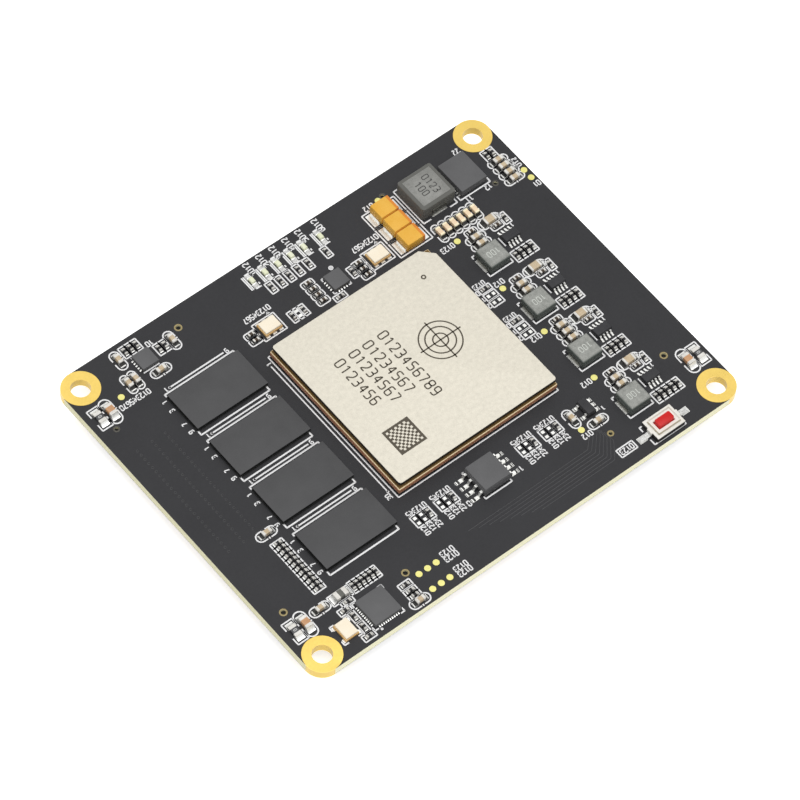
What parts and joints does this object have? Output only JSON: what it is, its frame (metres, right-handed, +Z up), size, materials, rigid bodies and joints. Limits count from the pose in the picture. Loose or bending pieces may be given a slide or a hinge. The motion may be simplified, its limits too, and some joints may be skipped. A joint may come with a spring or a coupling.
{
  "type": "system on module",
  "caption": "Programmable-logic core board: lidded logic array, memory chips and power supplies on a black board with gold corner holes, a reset button and board-to-board plugs below.",
  "frame": {"origin": "middle of the board, at the level of the mating faces of its plugs", "axes": "+X along the long side with the memory chips at -X, +Y from the reset button to the indicator lights, +Z up out of the parts side"},
  "size_m": [0.0832, 0.0644, 0.0088],
  "materials": {
    "solder_mask": "satin",
    "gold_plate": "polished",
    "gold_flash": "satin",
    "tinned": "satin",
    "solder": "satin",
    "package_laminate": "matte",
    "silicon": "polished",
    "thermal_pad": "matte",
    "lid_paint": "satin",
    "memory_mould": "matte",
    "memory_laminate": "matte",
    "chip_mould": "matte",
    "coil_core": "matte",
    "buck_core": "matte",
    "tantalum_mould": "satin",
    "clock_ceramic": "matte",
    "clock_lid": "satin",
    "led_lens": "gloss",
    "tan_ceramic": "satin",
    "orange_ceramic": "satin",
    "resistor_film": "satin",
    "bead_ferrite": "matte",
    "switch_base": "matte",
    "switch_cover": "satin",
    "button_red": "satin",
    "plug_mould": "matte",
    "contact_gold": "polished"
  },
  "bodies": {
    "module": {"circuit_board": "solder_mask", "hole_plating": "gold_plate", "test_pads": "gold_flash", "solder_pads": "tinned", "fpga_substrate": "package_laminate", "fpga_solder_balls": "solder", "fpga_die": "silicon", "fpga_thermal_pad": "thermal_pad", "fpga_lid": "lid_paint", "memory_chip_1": "memory_mould", "memory_chip_2": "memory_mould", "memory_chip_3": "memory_mould", "memory_chip_4": "memory_mould", "memory_substrates": "memory_laminate", "memory_solder_balls": "solder", "power_converter": "chip_mould", "power_inductor": "coil_core", "power_inductor_terminals": "tinned", "tantalum_capacitors": "tantalum_mould", "tantalum_terminals": "tinned", "buck_inductor_1": "buck_core", "buck_inductor_2": "buck_core", "buck_inductor_3": "buck_core", "buck_inductor_4": "buck_core", "buck_inductor_terminals": "tinned", "buck_regulators": "chip_mould", "buck_regulator_leads": "tinned", "flash_memory": "chip_mould", "flash_leads": "tinned", "linear_regulator": "chip_mould", "linear_regulator_leads": "tinned", "controller_chip": "chip_mould", "clock_buffer": "chip_mould", "termination_regulator": "chip_mould", "leadless_terminals": "tinned", "oscillator_bases": "clock_ceramic", "oscillator_lids": "clock_lid", "crystal_base": "clock_ceramic", "crystal_lid": "clock_lid", "indicator_leds": "led_lens", "indicator_led_terminals": "tinned", "capacitors_0402": "tan_ceramic", "capacitors_0603": "tan_ceramic", "capacitors_0805": "orange_ceramic", "input_capacitors": "tan_ceramic", "underside_capacitors": "tan_ceramic", "capacitor_terminals": "tinned", "resistors_0402": "resistor_film", "resistors_0805": "resistor_film", "resistor_terminals": "tinned", "ferrite_bead": "bead_ferrite", "ferrite_bead_terminals": "tinned", "reset_switch_base": "switch_base", "reset_switch_cover": "switch_cover", "reset_switch_dome": "tinned", "reset_switch_leads": "tinned", "plug_housings": "plug_mould", "plug_contacts": "contact_gold"},
    "reset_button": {"reset_button": "button_red"}
  },
  "joints": [
    {"name": "reset_press", "type": "slide", "parent": "module", "child": "reset_button", "axis": [0, 0, -1], "range_m": [0, 0.00025], "stiffness_N_per_m": 200, "springref_m": -0.0002, "deforming": ["reset_switch_dome"]}
  ]
}
